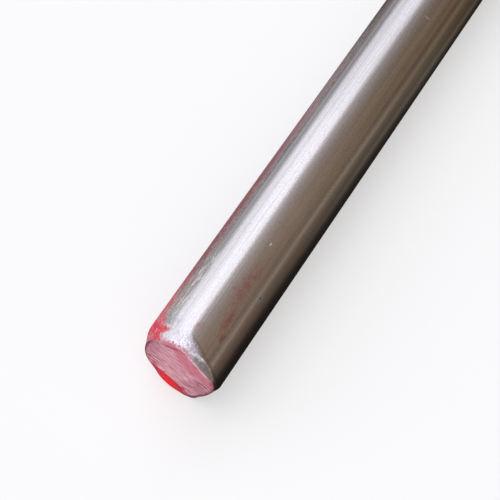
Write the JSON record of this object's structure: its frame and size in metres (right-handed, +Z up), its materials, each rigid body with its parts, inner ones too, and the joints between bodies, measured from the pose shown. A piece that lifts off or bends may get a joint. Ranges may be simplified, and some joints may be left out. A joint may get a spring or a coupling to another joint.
{
  "type": "round metal bar",
  "caption": "Solid round steel bar, 25.4 mm by 304.8 mm, bright ground. One end is sawn slightly out of square, hand ground at its edge and marked with red paint; the other is square and bare.",
  "frame": {"origin": "on the floor under the middle of the bar, which lies on its side", "axes": "+X along the bar, away from the painted end, +Z up"},
  "size_m": [0.3048, 0.0254, 0.0254],
  "materials": {
    "ground_steel": "bright ground, with faint lengthwise lines, red marking paint on one end"
  },
  "bodies": {
    "root": {"round_bar": "ground_steel"}
  },
  "joints": []
}
